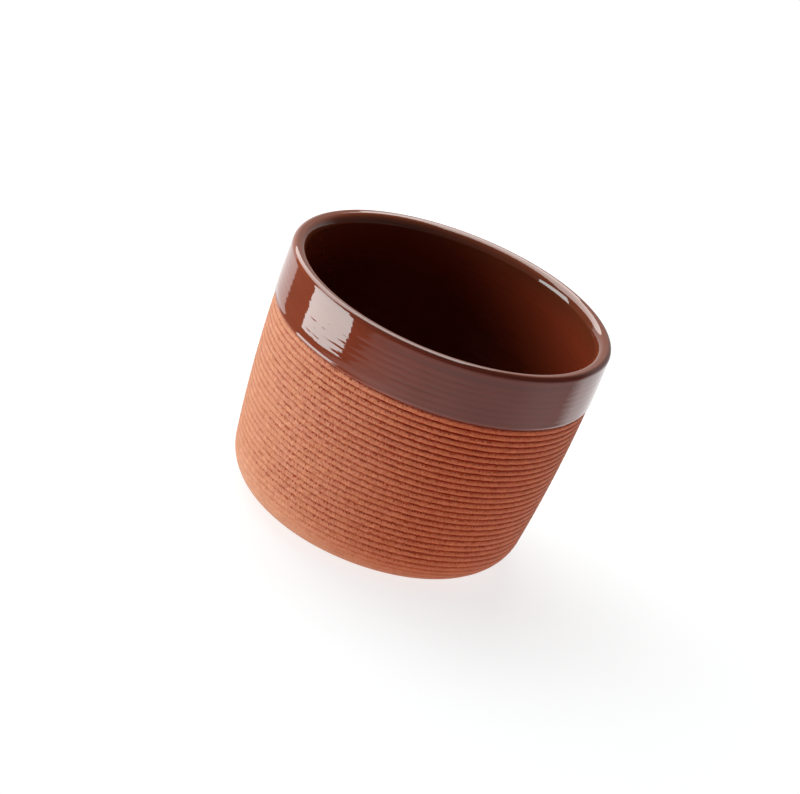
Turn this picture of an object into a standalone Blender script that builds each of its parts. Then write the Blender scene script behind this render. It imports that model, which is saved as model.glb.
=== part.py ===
"""A handleless terracotta mug, turned about +Z, standing on the table at z = 0.

Three solids make it: the ribbed clay body, the glaze lining poured inside it, and the glaze band
that covers the lip and the top of the outside. All lengths are in metres.
"""

import math

import bpy

# Driving dimensions of the finished mug
HEIGHT = 0.070  # table to the top of the lip
RIM_RADIUS = 0.045  # outside of the glaze band, at the lip
BASE_RADIUS = 0.040  # the wall's slope, carried down to the table
WALL_BULGE = 0.0015  # how far the wall swells out at mid height
WALL = 0.0042  # finished wall at the lip, from glaze to glaze
LIP_ROUND = 0.0022  # height of the lip's rounding
FLOOR = 0.0055  # table to the finished floor inside
FOOT_CORNER = 0.012  # outer radius where the wall turns under
INNER_CORNER = 0.010  # inner radius between wall and floor
FOOT_RING = 0.005  # width of the ring that the mug stands on
FOOT_RECESS = 0.0012  # depth of the hollow inside that ring

# Glaze
BAND_HEIGHT = 0.016  # top of the lip down to the band's lower edge
GLAZE = 0.0006  # thickness of the coat
GLAZE_STEP = 0.0003  # how far the band stands proud of the ribs
SEAT_GAP = 0.0003  # clearance between the glaze and what it lies on

# Ribs turned into the bare clay
RIB_PITCH = 0.0018
GROOVE_WIDTH = 0.0006
GROOVE_DEPTH = 0.00035
RIBS_END = 0.007  # height at which the lowest groove may lie

# Fineness of the turned shapes
FACETS = 40
LIP_POINTS = 8
CORNER_POINTS = 6
WALL_POINTS = 5
AXIS_MERGE = 0.00001

# Colours and roughness
CLAY_COLOUR = (0.48, 0.16, 0.09)
CLAY_ROUGHNESS = 0.85
GLAZE_COLOUR = (0.15, 0.032, 0.015)
GLAZE_ROUGHNESS = 0.08

# Heights that follow from the sizes above
GLAZE_LINE = HEIGHT - BAND_HEIGHT
LIP_BASE = HEIGHT - LIP_ROUND
BEDDING = GLAZE + SEAT_GAP  # depth of the clay under the finished glaze


def outer_wall(z):
    """Radius of the finished outside at height z."""
    share = z / HEIGHT
    return BASE_RADIUS + (RIM_RADIUS - BASE_RADIUS) * share + 4 * WALL_BULGE * share * (1 - share)


def inner_wall(z):
    """Radius of the finished inside at height z."""
    return outer_wall(z) - WALL


def rib_crest(z):
    """Radius of the bare clay on top of its ribs, on the wall above the foot corner."""
    return outer_wall(z) - GLAZE_STEP


def spread(start, end, count):
    """Evenly spaced values from start to end, both included."""
    return [start + (end - start) * i / (count - 1) for i in range(count)]


def rounded_corner(wall, radius, floor):
    """Centre of the arc that joins a leaning wall to a level floor, and its angle at the wall."""
    lean = math.atan2(wall(floor + 2 * radius) - wall(floor), 2 * radius)
    leaves = floor + radius - radius * math.sin(lean)
    return wall(leaves) - radius * math.cos(lean), floor + radius, -lean


def arc(centre_r, centre_z, radius, start, end, count):
    """Points on a circle, as (r, z)."""
    angles = spread(start, end, count)
    return [(centre_r + radius * math.cos(a), centre_z + radius * math.sin(a)) for a in angles]


def inside_path(depth, top):
    """The cup's inside from its axis up to height top, depth below the finished surface."""
    centre_r, centre_z, leave = rounded_corner(inner_wall, INNER_CORNER, FLOOR)
    radius = INNER_CORNER + depth
    path = [(0.0, FLOOR - depth)]
    path += arc(centre_r, centre_z, radius, -math.pi / 2, leave, CORNER_POINTS)
    wall_start = path[-1][1]
    path += [(inner_wall(z) + depth, z) for z in spread(wall_start, top, WALL_POINTS)[1:]]
    return path


def lip_path(depth):
    """The half ellipse over the lip, from its inside to its outside, depth below the finished surface."""
    middle = (inner_wall(LIP_BASE) + outer_wall(LIP_BASE)) / 2
    half_width = WALL / 2 - depth
    rise = LIP_ROUND - depth
    return [
        (middle + half_width * math.cos(a), LIP_BASE + rise * math.sin(a))
        for a in spread(math.pi, 0, LIP_POINTS + 1)
    ]


def band_path(depth, bottom):
    """The outside under the lip, down to height bottom, depth below the finished surface."""
    return [(outer_wall(z) - depth, z) for z in spread(LIP_BASE, bottom, WALL_POINTS)[1:]]


def ribbed_path(top):
    """The bare clay outside, from height top down to the ring that the mug stands on."""
    centre_r, centre_z, leave = rounded_corner(rib_crest, FOOT_CORNER, 0.0)
    corner_top = centre_z + FOOT_CORNER * math.sin(leave)

    def crest(z):
        if z >= corner_top:
            return rib_crest(z)
        return centre_r + math.sqrt(FOOT_CORNER**2 - (centre_z - z) ** 2)

    path = [(crest(top), top)]
    groove = top - RIB_PITCH
    while groove > RIBS_END:
        upper_edge = groove + GROOVE_WIDTH / 2
        lower_edge = groove - GROOVE_WIDTH / 2
        path.append((crest(upper_edge), upper_edge))
        path.append((crest(groove) - GROOVE_DEPTH, groove))
        path.append((crest(lower_edge), lower_edge))
        groove -= RIB_PITCH
    lowest = path[-1][1]
    if lowest > corner_top:
        path += arc(centre_r, centre_z, FOOT_CORNER, leave, -math.pi / 2, CORNER_POINTS)
    else:
        start = math.asin((lowest - centre_z) / FOOT_CORNER)
        path += arc(centre_r, centre_z, FOOT_CORNER, start, -math.pi / 2, CORNER_POINTS)[1:]
    return path


def foot_path(ring_edge):
    """The underside, from the outer edge of the standing ring to the axis."""
    ring_inner = ring_edge - FOOT_RING
    return [(ring_inner, 0.0), (ring_inner - FOOT_RECESS, FOOT_RECESS), (0.0, FOOT_RECESS)]


def clay_body_profile():
    shoulder = GLAZE_LINE - SEAT_GAP
    ribbed = ribbed_path(shoulder)
    return (
        inside_path(BEDDING, LIP_BASE)
        + lip_path(BEDDING)[1:]
        + band_path(BEDDING, shoulder)
        + ribbed
        + foot_path(ribbed[-1][0])
    )


def glaze_lining_profile():
    top = LIP_BASE - SEAT_GAP
    return inside_path(0.0, top) + inside_path(GLAZE, top)[::-1]


def glaze_band_profile():
    finished = lip_path(0.0) + band_path(0.0, GLAZE_LINE)
    bedded = lip_path(GLAZE) + band_path(GLAZE, GLAZE_LINE)
    return finished + bedded[::-1]


def make_material(name, colour, roughness):
    material = bpy.data.materials.new(name)
    material.use_nodes = True
    shader = material.node_tree.nodes["Principled BSDF"]
    shader.inputs["Base Color"].default_value = (*colour, 1.0)
    shader.inputs["Roughness"].default_value = roughness
    shader.inputs["Metallic"].default_value = 0.0
    return material


def turn(name, profile, material, parent, closed_loop):
    """Spins a profile of (r, z) points about +Z into one closed solid."""
    points = [(r, 0.0, z) for r, z in profile]
    edges = [(i, i + 1) for i in range(len(points) - 1)]
    if closed_loop:
        edges.append((len(points) - 1, 0))
    mesh = bpy.data.meshes.new(name)
    mesh.from_pydata(points, edges, [])
    mesh.materials.append(material)
    solid = bpy.data.objects.new(name, mesh)
    solid.parent = parent
    spin = solid.modifiers.new("spin", "SCREW")
    spin.axis = "Z"
    spin.angle = 2 * math.pi
    spin.steps = FACETS
    spin.render_steps = FACETS
    spin.use_merge_vertices = True
    spin.merge_threshold = AXIS_MERGE
    spin.use_smooth_shade = True
    return solid


def main():
    for thing in list(bpy.data.objects):
        bpy.data.objects.remove(thing)
    collection = bpy.data.collections.new("terracotta_mug")
    bpy.context.scene.collection.children.link(collection)
    table_centre = bpy.data.objects.new("table_centre", None)
    collection.objects.link(table_centre)

    fired_clay = make_material("fired_clay", CLAY_COLOUR, CLAY_ROUGHNESS)
    brown_glaze = make_material("brown_glaze", GLAZE_COLOUR, GLAZE_ROUGHNESS)
    solids = [
        turn("clay_body", clay_body_profile(), fired_clay, table_centre, False),
        turn("glaze_lining", glaze_lining_profile(), brown_glaze, table_centre, False),
        turn("glaze_rim_band", glaze_band_profile(), brown_glaze, table_centre, True),
    ]
    for solid in solids:
        collection.objects.link(solid)


main()
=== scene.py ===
# %% [markdown]
# # Dressing a terracotta mug
# The mug is one fired body of red clay. Its outside is bare and ribbed, and a glossy brown glaze
# lines the inside and runs over the lip, down the top of the outside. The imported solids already
# have its size. This lesson lays a finer surface over each of them: ribs with torn edges, glaze
# that pools and thins, and the studio that shows them.

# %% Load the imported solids
import math

import bpy
import numpy as np
from mathutils import Matrix, Vector


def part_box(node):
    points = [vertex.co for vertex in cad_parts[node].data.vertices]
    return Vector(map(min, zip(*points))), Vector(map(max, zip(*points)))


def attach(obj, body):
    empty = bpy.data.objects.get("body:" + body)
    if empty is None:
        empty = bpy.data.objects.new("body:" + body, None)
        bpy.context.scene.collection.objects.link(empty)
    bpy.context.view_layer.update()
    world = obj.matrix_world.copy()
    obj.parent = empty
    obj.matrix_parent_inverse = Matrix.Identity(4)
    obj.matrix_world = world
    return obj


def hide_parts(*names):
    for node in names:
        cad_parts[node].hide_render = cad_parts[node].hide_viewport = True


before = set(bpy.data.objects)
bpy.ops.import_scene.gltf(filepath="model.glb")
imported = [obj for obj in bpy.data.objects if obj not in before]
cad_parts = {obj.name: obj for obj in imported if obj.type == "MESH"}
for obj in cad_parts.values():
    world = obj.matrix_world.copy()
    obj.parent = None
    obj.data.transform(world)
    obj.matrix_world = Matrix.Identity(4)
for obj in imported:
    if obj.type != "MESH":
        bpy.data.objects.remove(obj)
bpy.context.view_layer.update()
bpy.context.scene.view_settings.view_transform = "Standard"
print("solids to dress:", sorted(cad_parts))

# %% [markdown]
# ## The mug's own sizes
# Everything below hangs on a few lengths. Those that the solids can tell, such as the height or the
# lower edge of the glaze, are read from their boxes. The rest repeat the potter's choices: how the
# wall leans and swells, how thick it is, how thick the glaze lies and how far apart the ribs are.

# %% Read the sizes
MM = 0.001
band_low, band_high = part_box("glaze_rim_band")
lining_low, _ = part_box("glaze_lining")

HEIGHT = band_high.z
GLAZE_LINE = band_low.z
GLAZE = 0.6 * MM
FLOOR = lining_low.z + GLAZE
RIM_RADIUS = 45.0 * MM
BASE_RADIUS = 40.0 * MM
WALL_BULGE = 1.5 * MM
WALL = 4.2 * MM
RIB_PITCH = 1.8 * MM
print(f"mug {2e3 * band_high.x:.1f} mm across and {1e3 * HEIGHT:.1f} mm tall")
print(f"glazed above {1e3 * GLAZE_LINE:.1f} mm")

# %% [markdown]
# ## The camera
# In the picture the mug leans to the right. The part itself stands upright, so the camera leans the
# other way instead: it looks down on the mug by its elevation, and it is rolled about its own line
# of sight. A long lens keeps the rim's near and far sides almost equal, as in the picture.

# %% Place the camera
ELEVATION = math.radians(23.86)
ROLL = math.radians(21.49)
DISTANCE = 0.946
LENS_MM = 158.0
SENSOR_MM = 36.0
AIM_RIGHT = -2.65 * MM
AIM_UP = 1.66 * MM

middle = Vector((0, 0, HEIGHT / 2))
toward = Vector((0, -math.cos(ELEVATION), math.sin(ELEVATION)))
level_right = Vector((1, 0, 0))
level_up = toward.cross(level_right)
right = level_right * math.cos(ROLL) + level_up * math.sin(ROLL)
up = level_up * math.cos(ROLL) - level_right * math.sin(ROLL)

camera_data = bpy.data.cameras.new("camera")
camera_data.lens = LENS_MM
camera_data.sensor_width = SENSOR_MM
camera_data.sensor_fit = "HORIZONTAL"
camera = bpy.data.objects.new("camera", camera_data)
bpy.context.scene.collection.objects.link(camera)
turn = Matrix((right, up, toward)).transposed().to_4x4()
place = middle + right * AIM_RIGHT + up * AIM_UP + toward * DISTANCE
camera.matrix_world = Matrix.Translation(place) @ turn
bpy.context.scene.camera = camera
print("camera at", tuple(round(v, 3) for v in place), "lens", LENS_MM)

# %% [markdown]
# ## A wheel to turn things on
# Every piece of a thrown mug is a shape turned about one axis, so one helper does the wheel's work.
# It takes rings of points, already moved in or out by whatever relief the clay has there, and
# stitches neighbouring rings with quads. A Screw modifier would turn a perfect profile, but here
# each ring differs a little all the way round, so the points are laid out directly. A second helper
# keeps a number with each point, such as how deep a groove is there, for the material to read.

# %% Define the wheel
def angles_round(columns):
    return np.linspace(0, 2 * np.pi, columns, endpoint=False)


def rings_from(radius, height):
    """Points of every ring: one row of radius and height for each ring, one column for each angle."""
    around = angles_round(radius.shape[1])
    return np.stack([radius * np.cos(around), radius * np.sin(around), height], axis=2)


def stitch(name, rings, poles):
    """One closed mesh from rings, ended by a point on the axis at each pole, or joined end to end."""
    count, columns = rings.shape[:2]
    points = rings.reshape(-1, 3)
    here = np.arange(columns)
    beside = np.roll(here, -1)
    start = np.arange(count if poles is None else count - 1)[:, None] * columns
    next_start = (start + columns) % (count * columns)
    quads = np.stack([start + here, next_start + here, next_start + beside, start + beside], axis=2)
    faces = quads.reshape(-1, 4).tolist()
    if poles is not None:
        first, last = len(points), len(points) + 1
        points = np.vstack([points, [(0, 0, poles[0]), (0, 0, poles[1])]])
        faces += [(first, a, b) for a, b in zip(here.tolist(), beside.tolist())]
        edge = (count - 1) * columns
        faces += [(last, edge + b, edge + a) for a, b in zip(here.tolist(), beside.tolist())]
    mesh = bpy.data.meshes.new(name)
    mesh.from_pydata(points.tolist(), [], faces)
    mesh.shade_smooth()
    piece = bpy.data.objects.new(name, mesh)
    bpy.context.scene.collection.objects.link(piece)
    print(name, "has", len(mesh.polygons), "faces")
    return piece


def mark(piece, name, values):
    """Keeps one number for each point of a piece; points past the last value take the first one."""
    attribute = piece.data.attributes.new(name, "FLOAT", "POINT")
    padded = np.full(len(piece.data.vertices), values.ravel()[0])
    padded[: values.size] = values.ravel()
    attribute.data.foreach_set("value", padded)


NOWHERE = np.zeros(1)
print("the wheel is ready")

# %% [markdown]
# ## The wall as a line
# The wall leans out from foot to rim and swells a little on the way. It could be a curve drawn by
# hand, but written as a formula it can be asked for its radius at any height, and the rounding at
# foot and floor becomes an arc that leaves the wall without a corner. The bare clay lies a little
# inside the glaze, so its ribs have their own line.

# %% Define the wall and its corners
GLAZE_STEP = 0.3 * MM


def outer_wall(z):
    share = z / HEIGHT
    return BASE_RADIUS + (RIM_RADIUS - BASE_RADIUS) * share + 4 * WALL_BULGE * share * (1 - share)


def inner_wall(z):
    return outer_wall(z) - WALL


def rib_crest(z):
    return outer_wall(z) - GLAZE_STEP


def rounded_corner(wall, radius, floor):
    """Centre of the arc between a leaning wall and a level floor, and its angle at the wall."""
    lean = math.atan2(wall(floor + 2 * radius) - wall(floor), 2 * radius)
    leaves = floor + radius - radius * math.sin(lean)
    return wall(leaves) - radius * math.cos(lean), floor + radius, -lean


def arc(centre, radius, start, end, count):
    turns = np.linspace(start, end, count)
    return np.stack([centre[0] + radius * np.cos(turns), centre[1] + radius * np.sin(turns)], axis=1)


def upright(wall, start, end, count):
    heights = np.linspace(start, end, count)
    return np.stack([wall(heights), heights], axis=1)


def path_length(path):
    return float(np.hypot(*np.diff(path, axis=0).T).sum())


print(f"wall is {1e3 * outer_wall(HEIGHT / 2):.1f} mm from the axis half way up")

# %% Draw the bare wall from the glaze to the standing ring
FOOT_CORNER = 12.0 * MM
WALL_STEPS = 200
CORNER_STEPS = 60

foot_r, foot_z, foot_leave = rounded_corner(rib_crest, FOOT_CORNER, 0.0)
foot_top = foot_z + FOOT_CORNER * math.sin(foot_leave)
bare_wall = np.vstack([
    upright(rib_crest, GLAZE_LINE, foot_top, WALL_STEPS),
    arc((foot_r, foot_z), FOOT_CORNER, foot_leave, -math.pi / 2, CORNER_STEPS)[1:],
])
print(f"bare wall runs {1e3 * path_length(bare_wall):.1f} mm from the glaze to the standing ring")

# %% [markdown]
# ## The grooves
# On the wheel a toothed rib was held against the turning wall. It left flat bands with narrow
# grooves between them, and where the clay dragged, the grooves wander, thin out and break off.
# A striped bump in the material would look flat from the side, so each groove is cut as real shape,
# with its own wavering line and depth. The tool pressed hardest near the glaze, and one patch of the
# front is worn. Towards the foot the grooves fade, sooner where a hand wiped the clay smooth.

# %% Define how lines waver and how a patch spreads
def wander(around, seed, slowest, fastest, fade=0.5):
    """A wavering line that closes on itself round the mug, between about -1 and 1."""
    draw = np.random.default_rng(seed)
    waves = np.arange(slowest, fastest + 1)
    sizes = draw.normal(size=waves.size) / waves**fade
    turns = draw.uniform(0, 2 * np.pi, waves.size)
    line = (sizes[:, None] * np.cos(waves[:, None] * around + turns[:, None])).sum(axis=0)
    return line / (2 * np.sqrt((sizes**2).sum() / 2) + 1e-9)


def wander_each(around, count, seed, *waves):
    """One wavering line for each of a count of ribs, each drawn from its own seed."""
    return np.array([wander(around, seed + i, *waves) for i in range(count)])


def turn_from(around, side):
    """Angles measured from one side of the mug, from half a turn back to half a turn on."""
    return (around - side + np.pi) % (2 * np.pi) - np.pi


def facing(around, side):
    """1 on one side of the mug, falling to 0 a quarter turn away from it."""
    return np.clip(np.cos(around - side), 0, 1)


def hump(distance, half):
    """A smooth hump: 1 in its middle and about a third at its half width."""
    return np.exp(-((distance / half) ** 2))


print("a wavering line starts", wander(angles_round(8), 1, 1, 3).round(2)[:3])

# %% Find where the clay dragged and where the tool pressed
# Waves are a seed, the slowest and the fastest wave, and how quickly the faster ones weaken.
BODY_COLUMNS = 384
TORN_SIDE = math.radians(-118)
TORN_ENDS_SOONER = 2.2
TORN_WIDE = math.radians(13)
TORN_MORE = 0.2
DRAG_WAVES = (5, 1, 6)
DRAG_WAVER = 0.25
DRAG_LEAST = 0.2
DEEP_SIDE = math.radians(-68)
PRESSED_LEAST = 0.36
PRESSED_MORE = 0.68
WIPED_AND_LIT_SIDE = math.radians(-150)

around = angles_round(BODY_COLUMNS)
from_torn = turn_from(around, TORN_SIDE)
from_torn = np.clip(np.where(from_torn < 0, TORN_ENDS_SOONER, 1.0) * from_torn, -np.pi, np.pi)
drag = 0.5 + 0.5 * np.cos(from_torn) + DRAG_WAVER * wander(around, *DRAG_WAVES)
drag = np.clip(drag, DRAG_LEAST, 1)
drag += TORN_MORE * hump(turn_from(around, TORN_SIDE), TORN_WIDE)
pressed = PRESSED_LEAST + PRESSED_MORE * np.cos(around - DEEP_SIDE) ** 2
# The wiped side is also where the foot is painted lighter, as painted light; away from it the foot gets
# painted shade.
wiped_and_lit = facing(around, WIPED_AND_LIT_SIDE)
print(f"clay dragged from {drag.min():.2f} to {drag.max():.2f}, tool pressed up to {pressed.max():.2f}")

# %% Give each groove its place, its depth and its stray line
RIBS_FADE_FROM = 43 * MM
RIBS_FADE_TO = 54 * MM
WIPED_HIGHER = 3.5 * MM
PRESSED_TOP = 1.31
PRESSED_FOOT = 0.61
WORN_SIDE = math.radians(-112)
WORN_WIDE = math.radians(32)
WORN_AT = 26 * MM
WORN_TALL = 12 * MM
WORN_SHARE = 0.33
DEPTH_WAVES = (300, 3, 150, 0.25)
DEPTH_WAVER = 0.07
DEPTH_TORN = 0.16
DEPTH_LEAST = 0.06
DEPTH_MOST = 1.3
DRIFT_WAVES = (100, 2, 12, 0.6)
DRIFT_SHARE = 0.6
TEAR_WAVES = (200, 30, 150, 0.1)
TEAR_SHARE = 0.8

groove_at = np.arange(0, RIBS_FADE_TO, RIB_PITCH)
fade_end = RIBS_FADE_TO - WIPED_HIGHER * wiped_and_lit**2
fade = np.clip((fade_end - groove_at[:, None]) / (RIBS_FADE_TO - RIBS_FADE_FROM), 0, 1)
eased = np.interp(groove_at, (0, RIBS_FADE_TO), (PRESSED_TOP, PRESSED_FOOT))[:, None]
worn = hump(turn_from(around, WORN_SIDE), WORN_WIDE) * hump(groove_at[:, None] - WORN_AT, WORN_TALL)
depths = wander_each(around, len(groove_at), *DEPTH_WAVES)
depths = pressed + (DEPTH_WAVER + DEPTH_TORN * drag) * depths
depths = np.clip(depths, DEPTH_LEAST, DEPTH_MOST) * fade
depths *= eased * (1 - WORN_SHARE * worn)
drift = wander_each(around, len(groove_at), *DRIFT_WAVES)
tears = wander_each(around, len(groove_at), *TEAR_WAVES)
strays = DRIFT_SHARE * drift + TEAR_SHARE * drag * tears
print(len(groove_at), f"grooves, the strongest pressed to {depths.max():.2f}")

# %% [markdown]
# ## The ribbed wall
# A groove of this tool is lopsided: steep above and easier below, with a slightly crowned band
# between one groove and the next. A fine even grid could carry that, but most of its points would
# lie on flat bands. So the rings of points are set close together in each groove and wide apart on
# the bands, and every point is pushed straight into the wall by the depth that it should have.

# %% Cut the grooves into the wall
GROOVE_DEPTH = 0.46 * MM
GROOVE_UPPER_HALF = 0.155 * MM
GROOVE_LOWER_HALF = 0.25 * MM
GROOVE_WANDER = 0.085 * MM
RIB_CROWN = 0.045 * MM
ACROSS_GROOVE = np.array([-0.32, -0.16, -0.06, 0.07, 0.21, 0.42, 0.92]) * MM
PLAIN_GAP = 0.7 * MM
PLAIN_RINGS = 8
HAND = 0.05 * MM
HAND_WAVES = (11, 2, 5)


def along(path, distances):
    """Points and outward directions at given distances along a path of (r, z) points."""
    steps = np.hypot(*np.diff(path, axis=0).T)
    length = np.concatenate([[0], np.cumsum(steps)])
    slope = np.gradient(path, length, axis=0)
    point = np.stack([np.interp(distances, length, path[:, i]) for i in (0, 1)], axis=1)
    run = np.stack([np.interp(distances, length, slope[:, i]) for i in (0, 1)], axis=1)
    run /= np.hypot(*run.T)[:, None]
    return point, np.stack([-run[:, 1], run[:, 0]], axis=1)


ribbed = (groove_at[:, None] + ACROSS_GROOVE).ravel()
ribbed = ribbed[ribbed >= 0]
plain = np.linspace(ribbed[-1] + PLAIN_GAP, path_length(bare_wall), PLAIN_RINGS)
down = np.concatenate([ribbed, plain])
groove_of = np.clip(np.rint(down / RIB_PITCH).astype(int), 0, len(groove_at) - 1)
off_centre = down[:, None] - groove_at[groove_of][:, None] - GROOVE_WANDER * strays[groove_of]
groove_half = np.where(off_centre < 0, GROOVE_UPPER_HALF, GROOVE_LOWER_HALF)
groove = depths[groove_of] * hump(off_centre, groove_half)
crown = fade[groove_of] * np.clip(np.abs(off_centre) / (RIB_PITCH / 2), 0, 1)
relief = -GROOVE_DEPTH * groove - RIB_CROWN * (1 - crown) ** 2
crest, out = along(bare_wall, down)
wall_r = crest[:, :1] + out[:, :1] * relief + HAND * wander(around, *HAND_WAVES)
wall_z = np.maximum(crest[:, 1:] + out[:, 1:] * relief, 0)
print(f"{len(down)} rings on the wall, cut up to {-1e3 * relief.min():.2f} mm deep")

# %% [markdown]
# ## The lip
# The lip isn't one round. From the inside wall it flares a little, runs up a long bevel, turns over
# a tight round, falls gently outwards and ends in an outer round. A Bevel modifier makes one round
# only, so the lip is drawn from arcs that each leave the last without a corner. The clay, the band
# and the lining all need this line, each at its own depth below the glaze, so it is a function.

# %% Set out the arcs of the lip
LIP_TALL = 2.2 * MM
LIP_OUTER_ROUND = 1.35 * MM
LIP_TIGHT_ROUND = 1.9 * MM
LIP_BEVEL_ROUND = 4.3 * MM
LIP_FLARE_ROUND = 1.2 * MM
FLARE_DROP = 0.35 * MM
FLARE_AT = math.radians(180 - 16)
BEND_AT = math.radians(180 - 36)
LEAN_AT = math.radians(90 + 8)


def toward_angle(angle):
    return np.array([math.cos(angle), math.sin(angle)])


LIP_BASE = HEIGHT - LIP_TALL
lip_inner = inner_wall(LIP_BASE - FLARE_DROP)
lip_outer = outer_wall(LIP_BASE)
flare_gain = LIP_BEVEL_ROUND - LIP_FLARE_ROUND
tight_loss = LIP_BEVEL_ROUND - LIP_TIGHT_ROUND
bevel_x = lip_inner + LIP_FLARE_ROUND - flare_gain * math.cos(FLARE_AT)
tight_x = bevel_x + tight_loss * math.cos(BEND_AT)
outer_x = lip_outer - LIP_OUTER_ROUND
fall = (outer_x - tight_x) * math.cos(LEAN_AT) + LIP_OUTER_ROUND - LIP_TIGHT_ROUND
outer_centre = np.array([outer_x, HEIGHT - LIP_OUTER_ROUND])
tight_centre = np.array([tight_x, outer_centre[1] + fall / math.sin(LEAN_AT)])
bevel_centre = tight_centre - tight_loss * toward_angle(BEND_AT)
flare_centre = bevel_centre + flare_gain * toward_angle(FLARE_AT)
print(f"lip is {1e3 * (lip_outer - lip_inner):.1f} mm thick at its base")

# %% Define the lip and the inside at any depth below the glaze
INNER_CORNER = 10.0 * MM
SEAM = 0.015 * MM
SLOPE_POINTS = 5
floor_r, floor_z, floor_leave = rounded_corner(inner_wall, INNER_CORNER, FLOOR)


def lip_turn(depth, count):
    """The inside of the lip, from the wall up: a short flare, a long bevel and a tight round."""
    flare = arc(flare_centre, LIP_FLARE_ROUND - depth, math.pi, FLARE_AT, count)
    bevel = arc(bevel_centre, LIP_BEVEL_ROUND - depth, FLARE_AT, BEND_AT, 2 * count)
    tight = arc(tight_centre, LIP_TIGHT_ROUND - depth, BEND_AT, LEAN_AT, count)
    return np.vstack([flare, bevel[1:], tight[1:]])


def seam_rings(turn, heights):
    return [(np.interp(z, turn[:, 1], turn[:, 0]), z) for z in heights]


def lip(depth, count):
    """The lip from its seam inside to the outer wall."""
    turn = lip_turn(depth, count)
    seam = seam_rings(turn, (LIP_BASE, LIP_BASE + SEAM))
    turn = turn[turn[:, 1] > LIP_BASE + 4 * SEAM]
    last = arc(outer_centre, LIP_OUTER_ROUND - depth, LEAN_AT, 0, 2 * count)
    slope = np.linspace(turn[-1], last[0], SLOPE_POINTS)[1:-1]
    return np.vstack([seam, turn, slope, last, [(lip_outer - depth, LIP_BASE)]])


def inside(depth, corner_count, wall_count, turn_count):
    """The inside from the floor to the seam below the lip."""
    corner = arc((floor_r, floor_z), INNER_CORNER + depth, -math.pi / 2, floor_leave, corner_count)
    wall = upright(lambda z: inner_wall(z) + depth, corner[-1, 1], flare_centre[1], wall_count)
    turn = lip_turn(depth, turn_count)
    seam = seam_rings(turn, (LIP_BASE - SEAM, LIP_BASE))
    turn = turn[1:][turn[1:, 1] < LIP_BASE - 4 * SEAM]
    return np.vstack([corner, wall[1:], turn, seam])


print(f"inside floor is flat to {1e3 * floor_r:.1f} mm from the axis")

# %% [markdown]
# ## The clay body
# The clay is one lump: the bed that the glaze lies on, the ribbed wall and the foot, which stands
# on a ring round a shallow hollow. Only the wall is seen closely, so the bed and the foot get few
# rings, the same all the way round. Joining three meshes would leave seams, so all their rings are
# stitched in one go, from the middle of the floor over the lip and down to the hollow.

# %% Draw the bed under the glaze and the foot
BED = GLAZE + 0.05 * MM
BED_ENDS_ABOVE = 0.3 * MM
BED_INSIDE_STEPS = (6, 6, 2)
BED_OUTSIDE_STEPS = 6
COARSE_LIP = 3
FOOT_RING = 5.0 * MM
FOOT_RECESS = 1.2 * MM
RING_EDGE_IN = 0.4 * MM
RING_EDGE_UP = 0.12 * MM
HOLLOW_SHARES = (0.75, 0.5, 0.25)


def plain_rings(path, columns):
    """The same radius and height all the way round, for surfaces that nobody sees closely."""
    path = np.asarray(path)
    return np.repeat(path[:, :1], columns, 1), np.repeat(path[:, 1:], columns, 1)


bed_end = GLAZE_LINE + BED_ENDS_ABOVE
bed_path = np.vstack([
    inside(BED, *BED_INSIDE_STEPS),
    lip(BED, COARSE_LIP)[1:],
    upright(lambda z: outer_wall(z) - BED, LIP_BASE, bed_end, BED_OUTSIDE_STEPS)[1:],
])
ring_inner = foot_r - FOOT_RING
foot_path = [
    (foot_r - 0.5 * FOOT_RING, 0.0),
    (ring_inner + RING_EDGE_IN, 0.0),
    (ring_inner, RING_EDGE_UP),
    (ring_inner - 0.8 * FOOT_RECESS, 0.8 * FOOT_RECESS),
    (ring_inner - 1.5 * FOOT_RECESS, FOOT_RECESS),
]
foot_path += [(share * ring_inner, FOOT_RECESS) for share in HOLLOW_SHARES]
bed_r, bed_z = plain_rings(bed_path, BODY_COLUMNS)
under_r, under_z = plain_rings(foot_path, BODY_COLUMNS)
print(len(bed_r), "rings under the glaze and", len(under_r), "under the foot")

# %% Stitch the clay body and mark it
rings = rings_from(np.vstack([bed_r, wall_r, under_r]), np.vstack([bed_z, wall_z, under_z]))
clay_body = stitch("clay_body_fired", rings, (FLOOR - BED, FOOT_RECESS))
quiet_bed, quiet_foot = np.zeros_like(bed_r), np.zeros_like(under_r)
dragged = np.repeat(drag[None, :], len(down), 0)
wiped_and_lit_rows = np.repeat(wiped_and_lit[None, :], len(down) + len(under_r), 0)
mark(clay_body, "groove", np.vstack([quiet_bed, groove, quiet_foot]))
mark(clay_body, "ribbed", np.vstack([quiet_bed, fade[groove_of], quiet_foot]))
mark(clay_body, "wiped_and_lit", np.vstack([quiet_bed, wiped_and_lit_rows]))
mark(clay_body, "dragged", np.vstack([quiet_bed, dragged, quiet_foot]))
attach(clay_body, "root")
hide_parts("clay_body")

# %% [markdown]
# ## The glaze over the lip
# Melted glaze evens out the ribs below it but never hides them: each groove leaves a shallow dip
# that breaks up the reflections. Along its lower edge the melt drew in to a waist above a bead on
# the left, and rolled under everywhere else. Displacement in the material could make such dips, but
# the gloss shows every step of it, so the dips go into the mesh. The coat is cut in two pieces where
# the solids are, just inside the lip. Both are drawn from the same line, so the join doesn't show.

# %% Draw the line of the band
BAND_COLUMNS = 384
BAND_STEPS = 86
LIP_STEPS = 12
EDGE_ROUND = 0.60 * MM
EDGE_STEPS = 9

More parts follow.
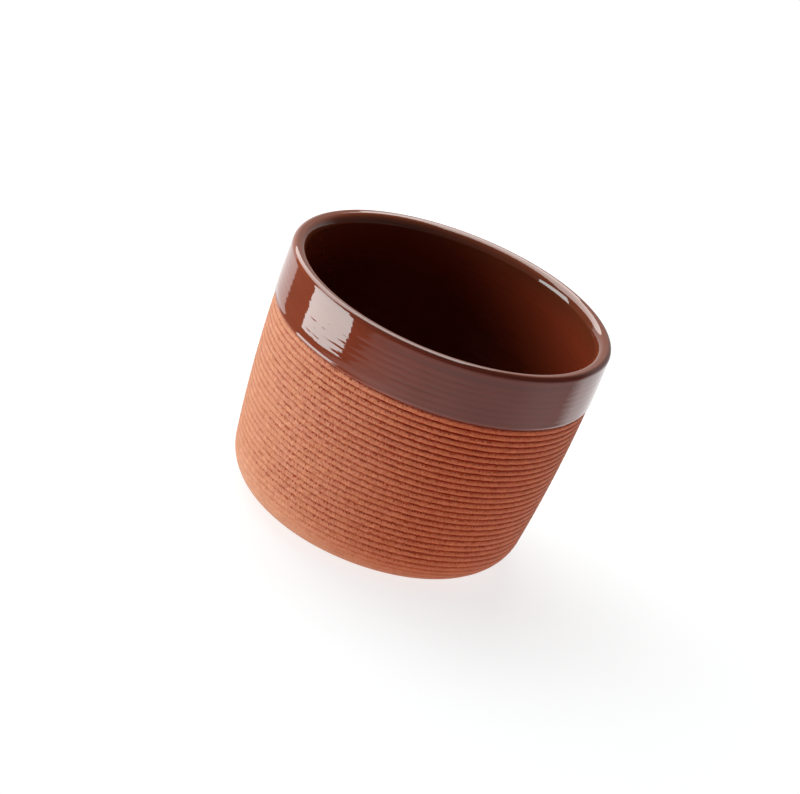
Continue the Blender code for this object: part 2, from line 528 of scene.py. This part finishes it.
band_around = angles_round(BAND_COLUMNS)
lip_line = lip(0.0, LIP_STEPS)
wall_line = upright(outer_wall, LIP_BASE, GLAZE_LINE + EDGE_ROUND, BAND_STEPS)[1:]
edge_centre = (outer_wall(GLAZE_LINE + EDGE_ROUND) - EDGE_ROUND, GLAZE_LINE + EDGE_ROUND)
edge_line = arc(edge_centre, EDGE_ROUND, 0, -math.pi / 2, EDGE_STEPS)[1:]
shown = np.vstack([lip_line, wall_line, edge_line])
above_edge = shown[:, 1] - GLAZE_LINE
on_outside = np.zeros(len(shown))
on_outside[len(lip_line):] = 1
print(f"band line is {1e3 * path_length(shown):.1f} mm long, over {len(shown)} rings")

# %% Sink the dips over the ribs
DIP = 0.016 * MM
DIP_HALF = 0.38 * MM
DIP_WAVES = (500, 2, 60, 0.5)
DIP_USUAL = 0.8
DIP_WAVER = 0.5
DIP_LEAST = 0.1
DIP_MOST = 1.4
DIP_STRAY = 0.12 * MM
DIP_STRAY_WAVES = (600, 2, 40, 0.6)
SMOOTH_SIDE = math.radians(-172)
SMOOTH_SHARE = 0.4
SMOOTH_NARROW = 4
RIBBY_SIDE = math.radians(-97)
RIBBY_WIDE = math.radians(16)
WAIST_SIDE = math.radians(-150)
WAIST_FROM = 0.45
WAIST_OVER = 0.4
DIPS_ABOVE_WAIST = 1.5 * RIB_PITCH

rib_no = np.rint(above_edge / RIB_PITCH).astype(int)
dips = wander_each(band_around, rib_no.max() + 1, *DIP_WAVES)
dip_strays = wander_each(band_around, rib_no.max() + 1, *DIP_STRAY_WAVES)
off_dip = above_edge[:, None] - rib_no[:, None] * RIB_PITCH - DIP_STRAY * dip_strays[rib_no]
dip_strength = np.clip(DIP_USUAL + DIP_WAVER * dips[rib_no], DIP_LEAST, DIP_MOST)
dip = -DIP * dip_strength * hump(off_dip, DIP_HALF)
dip[rib_no < 1] = 0
waisted = np.clip((np.cos(band_around - WAIST_SIDE) - WAIST_FROM) / WAIST_OVER, 0, 1)
above_waist = np.clip(above_edge / DIPS_ABOVE_WAIST - 1, 0, 1) * (rib_no > 1)
dip *= 1 - waisted * (1 - above_waist[:, None])
dip *= 1 - SMOOTH_SHARE * facing(band_around, SMOOTH_SIDE) ** SMOOTH_NARROW
dip *= 1 + hump(turn_from(band_around, RIBBY_SIDE), RIBBY_WIDE)
print(f"dips up to {-1e6 * dip.min():.0f} thousandths of a millimetre")

# %% Draw in the waist and roll the lower edge under
WAIST = 0.16 * MM
WAIST_AT = 0.95 * MM
WAIST_UPPER_HALF = 1.1 * MM
WAIST_LOWER_HALF = 0.45 * MM
WAIST_WAVES = (21, 2, 9)
WAIST_WAVER = 0.2
CALM_BELOW_LIP = 2.5 * MM
EDGE_ROLL = 1.1 * MM
EDGE_ROLL_IN = 0.5 * MM


def path_normals(path):
    run = np.gradient(path, axis=0)
    run /= np.hypot(*run.T)[:, None]
    return np.stack([-run[:, 1], run[:, 0]], axis=1)


waist_half = np.where(above_edge > WAIST_AT, WAIST_UPPER_HALF, WAIST_LOWER_HALF)
waist = -WAIST * hump(above_edge - WAIST_AT, waist_half)
waist_sway = waisted * (1 + WAIST_WAVER * wander(band_around, *WAIST_WAVES))
level_out = np.clip((LIP_BASE - shown[:, 1]) / CALM_BELOW_LIP, 0, 1) * on_outside
band_relief = (dip + waist[:, None] * waist_sway) * level_out[:, None]
normal = path_normals(shown)
shown_r = shown[:, :1] + normal[:, :1] * band_relief
shown_z = shown[:, 1:] + normal[:, 1:] * band_relief
into_roll = np.clip(1 - above_edge / EDGE_ROLL, 0, 1)
rolled = np.maximum(-EDGE_ROLL * (1 - np.sqrt(1 - into_roll**2)), -EDGE_ROLL_IN)
set_back = shown[:, 0] - outer_wall(shown[:, 1])
roll_in = np.minimum(rolled - set_back, 0) * on_outside
shown_r += roll_in[:, None] * (1 - waisted)
print(f"edge rolls in up to {-1e3 * roll_in.min():.2f} mm more than its own round")

# %% Stitch the band
BACK_RAISED = 0.05 * MM
BACK_STEPS = 8

band_back = np.vstack([
    upright(lambda z: outer_wall(z) - GLAZE, GLAZE_LINE + BACK_RAISED, LIP_BASE, BACK_STEPS),
    lip(GLAZE, COARSE_LIP)[::-1][1:],
])
back_r, back_z = plain_rings(band_back, BAND_COLUMNS)
rings = rings_from(np.vstack([shown_r, back_r]), np.vstack([shown_z, back_z]))
glaze_band = stitch("glaze_rim_band_melted", rings, None)
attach(glaze_band, "root")
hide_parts("glaze_rim_band")

# %% Mark where the band is thin, where it pooled and where it takes painted shade
THIN_BELOW = 1.2 * MM
CREST_HALF = 1.0 * MM
CREST_THIN = 0.9
GLAZE_SHADE_SIDE = math.radians(-62)
SHADED_SIDE_SHARE = 0.57
POOLED_IN_DIPS = 0.2
LIP_SHADE_SIDE = math.radians(-60)
LIP_SHADE_FROM = 0.7 * MM
LIP_SHADE_REACH = 2.3 * MM
LIP_SHADE_SPREAD = 0.7

thin = np.repeat(np.clip(1 - above_edge / THIN_BELOW, 0, 1)[:, None], BAND_COLUMNS, 1)
thin = np.maximum(thin, CREST_THIN * hump(shown[:, 1] - HEIGHT, CREST_HALF)[:, None])
# Painted shade: the glaze is darkened on the front right, the mug's shaded side, and on the outer round
# of the lip there as a painted dark reflection; only the extra darkening in the dips is pooled glaze.
shaded_side = np.cos(band_around - GLAZE_SHADE_SIDE) ** 2
pooled_and_shaded = shaded_side * (SHADED_SIDE_SHARE - POOLED_IN_DIPS * dip / DIP) * on_outside[:, None]
outer_turn = np.clip((shown[:, 0] - outer_x) / LIP_SHADE_FROM, 0, 1)
outer_turn = outer_turn * hump(HEIGHT - shown[:, 1], LIP_SHADE_REACH)
lip_side = facing(band_around, LIP_SHADE_SIDE) ** LIP_SHADE_SPREAD
pooled_and_shaded = np.clip(pooled_and_shaded + outer_turn[:, None] * lip_side, 0, 1)
mark(glaze_band, "thin", np.vstack([thin, np.zeros_like(back_r)]))
mark(glaze_band, "pooled_and_shaded", np.vstack([pooled_and_shaded, np.zeros_like(back_r)]))
mark(glaze_band, "into_well", NOWHERE)
mark(glaze_band, "deep_shade", NOWHERE)
print(f"pooled up to {pooled_and_shaded.max():.2f} and thin up to {thin.max():.2f}")

# %% [markdown]
# ## The glaze lining
# The lining is the same melt, poured in and out again. It covers the potter's finger rings, which
# show as faint dips on the wall and as a flat swirl on the floor. They could be left out, since the
# well is dark, but then its reflections would be too straight. Below the lip the glaze is painted
# redder, as painted bounce light in the well, and painted shade darkens it down the well, on the left
# back and in the ring dips, to nearly black at the bottom.

# %% Shape the lining
LINING_COLUMNS = 256
LINING_STEPS = (26, 150, LIP_STEPS)
FLOOR_HUB = 0.06
FLOOR_RINGS = 19
LINING_DIP = 0.015 * MM
LINING_DIP_HALF = 0.55 * MM
LINING_WAVES = (800, 2, 40, 0.5)
RING_USUAL = 0.7
RING_WAVER = 0.5
RING_MOST = 1.3
CALM_AT_TOP = 3 * MM
CALM_AT_FLOOR = 9 * MM
SWIRL = 0.03 * MM
SWIRL_HALF = 3.2 * MM
SWIRL_ENDS = 4 * MM

floor_shares = np.linspace(FLOOR_HUB, 1, FLOOR_RINGS + 1)[:-1]
floor_line = np.stack([floor_shares * floor_r, np.full(FLOOR_RINGS, FLOOR)], axis=1)
lining_line = np.vstack([floor_line, inside(0.0, *LINING_STEPS)])
lining_around = angles_round(LINING_COLUMNS)
below_lip = LIP_BASE - lining_line[:, 1]
above_floor = lining_line[:, 1] - FLOOR
ring_no = np.rint(below_lip / RIB_PITCH).astype(int)
ring_dips = wander_each(lining_around, ring_no.max() + 1, *LINING_WAVES)
off_ring = below_lip[:, None] - ring_no[:, None] * RIB_PITCH
ring_strength = np.clip(RING_USUAL + RING_WAVER * ring_dips[ring_no], 0, RING_MOST)
ring = LINING_DIP * ring_strength * hump(off_ring, LINING_DIP_HALF)
calm = np.clip(below_lip / CALM_AT_TOP, 0, 1) * np.clip(above_floor / CALM_AT_FLOOR, 0, 1)
ring *= calm[:, None]
swirl = SWIRL * np.sin(lining_line[:, 0] / SWIRL_HALF * np.pi)[:, None]
swirl = swirl * np.clip((floor_r - lining_line[:, :1]) / SWIRL_ENDS, 0, 1)
normal = path_normals(lining_line)
lining_r = lining_line[:, :1] + normal[:, :1] * -ring
lining_z = lining_line[:, 1:] + normal[:, 1:] * -ring + swirl
print(f"rings up to {1e6 * ring.max():.0f} thousandths of a millimetre deep")

# %% Stitch the lining and mark its painted light and shade
LINING_BACK_STEPS = (8, 10, COARSE_LIP)
LINING_SHADE_SIDE = math.radians(122)
LINING_SHADE_SPREAD = 1.5
INTO_WELL_BELOW = 6 * MM
DEEP_OVER = 24 * MM
SHADE_ON_SIDE = 0.65
SHADE_IN_DIPS = 0.1

back_r, back_z = plain_rings(inside(GLAZE, *LINING_BACK_STEPS)[::-1], LINING_COLUMNS)
rings = rings_from(np.vstack([lining_r, back_r]), np.vstack([lining_z, back_z]))
glaze_lining = stitch("glaze_lining_melted", rings, (FLOOR, FLOOR - GLAZE))
# Below the lip the lining is painted redder, as painted bounce light in the well.
into_well = np.clip(below_lip / INTO_WELL_BELOW, 0, 1)[:, None]
shaded_side = facing(lining_around, LINING_SHADE_SIDE) ** LINING_SHADE_SPREAD
# Painted shade: the lining darkens down the well, on its left back side and in the ring dips.
deep_shade = np.clip((below_lip - INTO_WELL_BELOW) / DEEP_OVER, 0, 1)[:, None]
deep_shade = deep_shade + SHADE_ON_SIDE * into_well * shaded_side + SHADE_IN_DIPS * ring / LINING_DIP
mark(glaze_lining, "into_well", np.repeat(into_well, LINING_COLUMNS, 1))
mark(glaze_lining, "deep_shade", np.clip(deep_shade, 0, 1))
mark(glaze_lining, "thin", NOWHERE)
mark(glaze_lining, "pooled_and_shaded", NOWHERE)
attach(glaze_lining, "root")
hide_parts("glaze_lining")

# %% [markdown]
# ## Materials from nodes
# Both finishes are painted by nodes that read where a point is on the mug and what was marked there,
# so they hold up from any side. Painted textures would need unwrapping and would blur close up.
# Small helpers keep the wiring short: the first adds a node, sets its plain values and links
# whatever is already made. A ramp is four numbers: where it starts and ends, and its levels there.

# %% Define the node helpers
def fill_socket(tree, socket, value):
    if isinstance(value, bpy.types.NodeSocket):
        tree.links.new(value, socket)
    else:
        socket.default_value = value


def add(tree, kind, settings=None, **inputs):
    """A new node; an input goes by its name, or by i and its number where names repeat."""
    node = tree.nodes.new(kind)
    for name, value in (settings or {}).items():
        setattr(node, name, value)
    for name, value in inputs.items():
        numbered = name[0] == "i" and name[1:].isdigit()
        fill_socket(tree, node.inputs[int(name[1:]) if numbered else name], value)
    return node


def blank_material(name):
    material = bpy.data.materials.new(name)
    material.use_nodes = True
    tree = material.node_tree
    return material, tree, tree.nodes["Principled BSDF"]


def read_mark(tree, name):
    return add(tree, "ShaderNodeAttribute", {"attribute_name": name}).outputs["Fac"]


print("nodes can be added and linked")

# %% Define ramps, sums and blends
def ramp(tree, value, low, high, to_low=0.0, to_high=1.0):
    node = add(tree, "ShaderNodeMapRange", i0=value, i1=low, i2=high, i3=to_low, i4=to_high)
    return node.outputs[0]


def math_node(tree, operation, a, b):
    return add(tree, "ShaderNodeMath", {"operation": operation}, i0=a, i1=b).outputs[0]


def times(tree, product, *others):
    for other in others:
        product = math_node(tree, "MULTIPLY", product, other)
    return product


def join_channels(tree, red, green, blue):
    return add(tree, "ShaderNodeCombineColor", i0=red, i1=green, i2=blue).outputs[0]


def blend_colour(tree, share, first, second, mode="MIX"):
    node = add(tree, "ShaderNodeMix", {"data_type": "RGBA", "blend_type": mode}, i0=share)
    for socket, value in ((node.inputs[6], first), (node.inputs[7], second)):
        fill_socket(tree, socket, (*value, 1.0) if isinstance(value, tuple) else value)
    return node.outputs[2]


print("numbers and colours can be blended")

# %% Define the grain and the bump
BUMP_REACH = 0.3 * MM


def place_on_mug(tree, scale):
    """The point's own place on the mug, stretched by a scale along each axis."""
    coords = add(tree, "ShaderNodeTexCoord")
    return add(tree, "ShaderNodeMapping", i0=coords.outputs["Object"], i3=scale).outputs[0]


def grain(tree, scale, detail, roughness):
    """Noise with about one blot for each metre divided by scale."""
    spot = place_on_mug(tree, scale)
    node = add(tree, "ShaderNodeTexNoise", i0=spot, Scale=1.0, Detail=detail, Roughness=roughness)
    return node.outputs[0]


def roughen(tree, shader, strength, height):
    bump = add(tree, "ShaderNodeBump", Strength=strength, Distance=BUMP_REACH, Height=height)
    tree.links.new(bump.outputs[0], shader.inputs["Normal"])


print(f"bumps reach {1e3 * BUMP_REACH:.1f} mm")

# %% [markdown]
# ## Fired clay
# Terracotta is dusty and uneven: orange where it fired hotter, pinker where it didn't. Near the foot
# it is paler on the side where a wet hand wiped it, which is partly painted light from the table,
# and darker elsewhere as painted shade. The grooves get painted shade, deep red where a groove keeps
# the light out. Dust darkens blue more than red, so dark spots look redder too. Short ticks cross the
# ribs where the tool dragged grit, and the same painted shade darkens them. Noise gives clouds but no
# ticks, so these are the hearts of Voronoi cells, stretched upright and kept close to the grooves.
# The marks that were left with the mesh say where all this belongs.

# %% Colour the clay
CLAY_ORANGE = (0.517, 0.236, 0.129)
CLAY_PINK = (0.502, 0.2247, 0.135)
CLAY_WIPED_AND_LIT = (0.55, 0.285, 0.175)
CLAY_FOOT_SHADED = (0.447, 0.189, 0.093)
MOTTLE_GRAIN = ((220, 220, 520), 3.0, 0.55)
MOTTLE = (0.38, 0.62)

clay, tree, shader = blank_material("fired_clay_ribbed")
groove_mask = read_mark(tree, "groove")
rib_mask = read_mark(tree, "ribbed")
mottle = ramp(tree, grain(tree, *MOTTLE_GRAIN), *MOTTLE)
rib_colour = blend_colour(tree, mottle, CLAY_ORANGE, CLAY_PINK)
# Painted light and shade round the foot: paler on the wiped side, partly wiped clay and partly painted
# light, and darker elsewhere as painted shade.
foot_lit_and_shaded = blend_colour(tree, read_mark(tree, "wiped_and_lit"), CLAY_FOOT_SHADED, CLAY_WIPED_AND_LIT)
colour = blend_colour(tree, rib_mask, foot_lit_and_shaded, rib_colour)
print("clay starts with", len(tree.nodes), "nodes")

# %% Dust the clay
TORN_DUST = (0.3, 1.2, 0.5, 1.21)
SMOOTH_DUST = (0.0, 1.0, 0.4, 1.0)
DUST_GRAIN = ((2200, 2200, 900), 3.0, 0.65)
DUST = (0.3, 0.7, -0.28, 0.23)
BLOTCH_GRAIN = ((420, 420, 560), 2.0, 0.5)
BLOTCH = (0.3, 0.7, 0.90, 1.09)
DUST_ON_CHANNELS = (0.7, 1.15, 1.4)

torn = ramp(tree, read_mark(tree, "dragged"), *TORN_DUST)
torn = times(tree, torn, ramp(tree, rib_mask, *SMOOTH_DUST))
dust = times(tree, ramp(tree, grain(tree, *DUST_GRAIN), *DUST), torn)
dust = math_node(tree, "ADD", dust, ramp(tree, grain(tree, *BLOTCH_GRAIN), *BLOTCH))
dusted = [math_node(tree, "POWER", dust, strength) for strength in DUST_ON_CHANNELS]
colour = blend_colour(tree, 1.0, colour, join_channels(tree, *dusted), "MULTIPLY")
print("dusty clay has", len(tree.nodes), "nodes")

# %% Tick and shade the grooves
CLAY_GROOVE_SHADE = (0.31, 0.020, 0.0005)
TICK_CELLS = (1700, 1700, 800)
TICK_HEART = (0.48, 0.26)
NEAR_GROOVE = (0.0, 0.08, 0.06, 1.0)
TICK_SHADE = 0.78
GROOVE_POWER = 0.95
GROOVE_SHADE = 0.98
CLAY_ROUGHNESS = 0.65
CLAY_SHEEN = 0.25
GRIT_GRAIN = ((2600, 2600, 2600), 3.0, 0.6)
GRIT_TALL = 0.6
TICK_DEEP = 0.7
CLAY_BUMP = 0.9

tick_cells = place_on_mug(tree, TICK_CELLS)
tick_far = add(tree, "ShaderNodeTexVoronoi", i0=tick_cells, Scale=1.0).outputs["Distance"]
near_groove = ramp(tree, groove_mask, *NEAR_GROOVE)
tick = times(tree, ramp(tree, tick_far, *TICK_HEART), near_groove, rib_mask, torn)
# Painted shade: the grooves, and the ticks beside them, are darkened towards a deep red that stands in
# for the shade inside them.
groove_shade = times(tree, math_node(tree, "POWER", groove_mask, GROOVE_POWER), GROOVE_SHADE)
shade = math_node(tree, "MAXIMUM", groove_shade, times(tree, tick, TICK_SHADE))
tree.links.new(blend_colour(tree, shade, colour, CLAY_GROOVE_SHADE), shader.inputs["Base Color"])
shader.inputs["Roughness"].default_value = CLAY_ROUGHNESS
shader.inputs["Specular IOR Level"].default_value = CLAY_SHEEN
grit = times(tree, grain(tree, *GRIT_GRAIN), GRIT_TALL)
roughen(tree, shader, CLAY_BUMP, math_node(tree, "SUBTRACT", grit, times(tree, tick, TICK_DEEP)))
clay_body.data.materials.append(clay)
print(clay.name, "is mixed from", len(tree.nodes), "nodes")

# %% [markdown]
# ## Brown glaze
# The glaze is a glassy brown. It is redder where it runs thin over the lip and at its lower edge,
# and darker where it pooled in the dips. It is also painted darker on the front right as painted
# shade, and on the outer round of the lip there as a painted dark reflection. In the well it is
# painted redder as painted bounce light, and painted shade darkens it down the well to nearly black
# at the bottom. True glass over clay would be slow and noisy to render, and so thin a coat looks the
# same as a glossy coloured surface. The gloss comes from the shader: a low roughness, and an IOR
# above that of plain glass.

# %% Mix the glaze
GLAZE_BROWN = (0.170, 0.036, 0.0150)
GLAZE_RED = (0.24, 0.055, 0.021)
GLAZE_DARK = (0.085, 0.019, 0.010)
GLAZE_WELL_BOUNCE = (0.262, 0.041, 0.0163)
GLAZE_DEEP_SHADE = (0.10, 0.015, 0.005)
CLOUD_GRAIN = ((70, 70, 240), 3.0, 0.5)
CLOUD = (0.35, 0.65, 0.0, 0.3)
GLAZE_ROUGHNESS = 0.04
GLAZE_IOR = 1.8
RIPPLE_GRAIN = ((160, 160, 420), 2.0, 0.5)
GLAZE_BUMP = 0.12

glaze, tree, shader = blank_material("brown_glaze_melted")
cloud = ramp(tree, grain(tree, *CLOUD_GRAIN), *CLOUD)
redder = math_node(tree, "MAXIMUM", cloud, read_mark(tree, "thin"))
colour = blend_colour(tree, redder, GLAZE_BROWN, GLAZE_RED)
# Painted bounce light: the lining below the lip is mixed redder.
colour = blend_colour(tree, read_mark(tree, "into_well"), colour, GLAZE_WELL_BOUNCE)
# Painted shade: the lining darkens down the well, on its left back and in its ring dips.
colour = blend_colour(tree, read_mark(tree, "deep_shade"), colour, GLAZE_DEEP_SHADE)
# The dark mix is partly glaze pooled in the dips, partly painted shade on the front right and a painted
# dark reflection on the lip there.
colour = blend_colour(tree, read_mark(tree, "pooled_and_shaded"), colour, GLAZE_DARK)
tree.links.new(colour, shader.inputs["Base Color"])
shader.inputs["Roughness"].default_value = GLAZE_ROUGHNESS
shader.inputs["IOR"].default_value = GLAZE_IOR
roughen(tree, shader, GLAZE_BUMP, grain(tree, *RIPPLE_GRAIN))
glaze_band.data.materials.append(glaze)
glaze_lining.data.materials.append(glaze)
print(glaze.name, "is mixed from", len(tree.nodes), "nodes")

# %% [markdown]
# ## The soft boxes
# The light of the picture belongs to its own upright, not to the leaning mug's. So the studio has
# its own three directions: up from its table, right and toward the viewer. One tall soft box stands
# at the left, leaning, and a broad one hangs above. They are area lamps, because those both light
# the clay and show in the glaze as the two bright patches. Each is given by how far it reaches to
# both sides of straight left or straight up, as shares of its distance, because that is what the
# reflections show.

# %% Hang the soft boxes
TABLE_TILT = math.radians(8.8)
BOX_DISTANCE = 0.6
BOX_LEAN = math.radians(18)
LEFT_BOX_ACROSS = (-0.241, 0.450)
LEFT_BOX_ALONG = (-0.06, 1.0)
LEFT_BOX_RADIANCE = 4.4
LEFT_BOX_TINT = (0.92, 1.045, 1.034)
ABOVE_BOX_ACROSS = (-0.66, 0.58)
ABOVE_BOX_ALONG = (-0.24, 0.96)
ABOVE_BOX_RADIANCE = 3.0
ABOVE_BOX_TINT = (0.99, 1.01, 0.98)

studio_up = up * math.cos(TABLE_TILT) + toward * math.sin(TABLE_TILT)
studio_toward = toward * math.cos(TABLE_TILT) - up * math.sin(TABLE_TILT)
studio_back = -studio_toward
box_across = studio_toward * math.cos(BOX_LEAN) - studio_up * math.sin(BOX_LEAN)
box_along = studio_toward * math.sin(BOX_LEAN) + studio_up * math.cos(BOX_LEAN)


def soft_box(name, axes, reach_across, reach_along, radiance, tint):
    """A soft box one BOX_DISTANCE away along its first axis; reaches are its low and high ends."""
    face, across, along_box = axes
    data = bpy.data.lights.new(name, "AREA")
    data.shape = "RECTANGLE"
    data.size = BOX_DISTANCE * (reach_across[1] - reach_across[0])
    data.size_y = BOX_DISTANCE * (reach_along[1] - reach_along[0])
    data.energy = radiance * math.pi * data.size * data.size_y
    data.color = tint
    light = bpy.data.objects.new(name, data)
    centre = face + across * sum(reach_across) / 2 + along_box * sum(reach_along) / 2
    turn = Matrix((across, along_box, across.cross(along_box))).transposed().to_4x4()
    light.matrix_world = Matrix.Translation(middle + centre * BOX_DISTANCE) @ turn
    light.visible_camera = False
    bpy.context.scene.collection.objects.link(light)
    print(name, f"{data.size:.2f} x {data.size_y:.2f} m")


left_axes = (-right, box_across, box_along)
above_axes = (studio_up, right, studio_toward * -1)
soft_box("soft_box_left", left_axes, LEFT_BOX_ACROSS, LEFT_BOX_ALONG, LEFT_BOX_RADIANCE, LEFT_BOX_TINT)
soft_box(
    "soft_box_above", above_axes, ABOVE_BOX_ACROSS, ABOVE_BOX_ALONG, ABOVE_BOX_RADIANCE, ABOVE_BOX_TINT
)

# %% [markdown]
# ## What the glaze mirrors
# A glossy thing shows what stands round it. Here that is a white table below, brighter close to the
# mug and at both sides, a pale sweep behind it, which fades upwards and to the right and ends in an
# edge on the left, and a dark room on the viewer's side. Real planes would work, but they would
# throw their own light on the clay as well. So all this is painted on the world, as ramps along the
# studio's own directions.

# %% Paint the table, the sweep and the dark room
TABLE_WHITE = 0.52
TABLE_EDGE = (-0.255, -0.305, 0.0, TABLE_WHITE)
TABLE_NEAR = (-0.34, -0.75, 0.45, 1.40)
TABLE_LEFT = (-0.75, -0.27, 1.65, 1.0)
TABLE_MIDDLE = (-0.27, 0.3, 1.0, 0.71)
TABLE_RIGHT = (0.62, 0.75, 1.0, 1.35)
SWEEP_WHITE = 1.2
TABLE_BEHIND = (0.30, 0.62, 0.0, SWEEP_WHITE)
SWEEP_UPWARDS = (0.0, 0.75, SWEEP_WHITE, 0.6)
SWEEP_SIDEWAYS = (-0.2, 0.5, 1.0, 0.35)
SWEEP_BEHIND = (0.3, 0.6)
SWEEP_STARTS = (-0.25, -0.05)
SWEEP_LEFT_EDGE = math.radians(46.8)
SWEEP_EDGE_SOFT = (0.0, 0.04)
ROOM_DARK = 0.06

world = bpy.data.worlds.new("white_sweep")
bpy.context.scene.world = world
world.use_nodes = True
sky = world.node_tree
look = add(sky, "ShaderNodeTexCoord").outputs["Generated"]


def share_along(direction):
    node = add(sky, "ShaderNodeVectorMath", {"operation": "DOT_PRODUCT"}, i0=look, i1=direction)
    return node.outputs["Value"]


def blend_level(share, first, second):
    return add(sky, "ShaderNodeMix", i0=share, i2=first, i3=second).outputs[0]


rise = share_along(studio_up)
behind = share_along(studio_back)
sideways = share_along(right)
table_sides = [ramp(sky, sideways, *side) for side in (TABLE_LEFT, TABLE_MIDDLE, TABLE_RIGHT)]
table_lit = times(sky, ramp(sky, rise, *TABLE_NEAR), *table_sides)
table = times(sky, ramp(sky, rise, *TABLE_EDGE), table_lit)
sweep = times(sky, ramp(sky, rise, *SWEEP_UPWARDS), ramp(sky, sideways, *SWEEP_SIDEWAYS))
sweep = times(sky, sweep, ramp(sky, behind, *SWEEP_BEHIND))
back = blend_level(ramp(sky, rise, *SWEEP_STARTS), ramp(sky, behind, *TABLE_BEHIND), sweep)
sweep_edge = right * math.cos(SWEEP_LEFT_EDGE) + studio_back * math.sin(SWEEP_LEFT_EDGE)
back = times(sky, back, ramp(sky, share_along(sweep_edge), *SWEEP_EDGE_SOFT))
mirrored_light = math_node(sky, "MAXIMUM", math_node(sky, "MAXIMUM", table, back), ROOM_DARK)
print("sweep ends", round(math.degrees(SWEEP_LEFT_EDGE)), "degrees left of the back")

# %% [markdown]
# ## What lights the clay
# Bare clay has hardly any gloss, so it only needs light from the right sides: a warm glow from low
# in front, and white light thrown back from the left, high and low, and from the right behind. More
# lamps would show in the glaze. The Light Path node avoids that: rays from the camera see plain
# white, rays off something glossy or through something clear see the studio, and all others, which
# light the dull surfaces, see these fills.

# %% Add the fills and join the world
FILL_FRONT = 3.65
FRONT_TOWARD = Vector((0.52, -0.855, 0.0))
FRONT_RISES = (-0.55, -0.10, 0.0, FILL_FRONT)
FRONT_FALLS = (-0.10, 0.05, FILL_FRONT, 0.0)
FRONT_SIDEWAYS = (-0.7, 1.0, 0.05, 1.0)
WARM_FILL = (1.0, 0.382, 0.221)
FILL_LEFT_HIGH = (Vector((-0.81, 0.03, 0.58)), (0.82, 0.966, 0.0, 0.8))
FILL_LEFT_LOW = (Vector((-0.80, -0.15, -0.58)), (0.2, 0.9, 0.0, 0.92))
FILL_BACK_RIGHT = (Vector((0.75, 0.64, -0.15)), (0.2, 0.9, 0.0, 0.55))
PLAIN_WHITE = (1.0, 1.0, 1.0)

lift = share_along(Vector((0, 0, 1)))
front = math_node(sky, "MINIMUM", ramp(sky, lift, *FRONT_RISES), ramp(sky, lift, *FRONT_FALLS))
front = times(sky, front, ramp(sky, share_along(FRONT_TOWARD), *FRONT_SIDEWAYS))
white_fill = 0.0
for direction, spread in (FILL_LEFT_HIGH, FILL_LEFT_LOW, FILL_BACK_RIGHT):
    white_fill = math_node(sky, "ADD", white_fill, ramp(sky, share_along(direction), *spread))
channels = [math_node(sky, "ADD", white_fill, times(sky, front, part)) for part in WARM_FILL]
rays = add(sky, "ShaderNodeLightPath").outputs
mirrored = math_node(sky, "MAXIMUM", rays["Is Glossy Ray"], rays["Is Transmission Ray"])
shown_ray = math_node(sky, "MAXIMUM", rays["Is Camera Ray"], mirrored)
tint = blend_colour(sky, shown_ray, join_channels(sky, *channels), PLAIN_WHITE)
level = blend_level(shown_ray, 1.0, blend_level(rays["Is Camera Ray"], mirrored_light, 1.0))
sky.links.new(tint, sky.nodes["Background"].inputs["Color"])
sky.links.new(level, sky.nodes["Background"].inputs["Strength"])
print(world.name, "is painted with", len(sky.nodes), "nodes")

# %% [markdown]
# ## The floor
# The floor only shows itself and the mug's shadow. It glows a little by itself, so that it comes
# out white without more light on the mug, and it is hidden from the mug's own reflections, because
# the studio's table, which lies at another angle, is what they show. A shadow catcher needs
# compositing, so this is a plain square with a grey, glowing material.

# %% Lay the floor
FLOOR_HALF = 3.0
FLOOR_GREY = (0.37, 0.38, 0.39)
FLOOR_GLOW = 0.75

floor_mesh = bpy.data.meshes.new("floor")
corners = [(FLOOR_HALF * x, FLOOR_HALF * y, 0) for x, y in ((-1, -1), (1, -1), (1, 1), (-1, 1))]
floor_mesh.from_pydata(corners, [], [(0, 1, 2, 3)])
floor = bpy.data.objects.new("floor", floor_mesh)
bpy.context.scene.collection.objects.link(floor)
white, tree, shader = blank_material("white_table")
shader.inputs["Base Color"].default_value = (*FLOOR_GREY, 1.0)
shader.inputs["Roughness"].default_value = 1.0
shader.inputs["Specular IOR Level"].default_value = 0.0
shader.inputs["Emission Color"].default_value = (*PLAIN_WHITE, 1.0)
shader.inputs["Emission Strength"].default_value = FLOOR_GLOW
floor_mesh.materials.append(white)
floor.visible_diffuse = False
floor.visible_glossy = False
floor.visible_shadow = False
print(f"floor is {2 * FLOOR_HALF:.0f} m square")
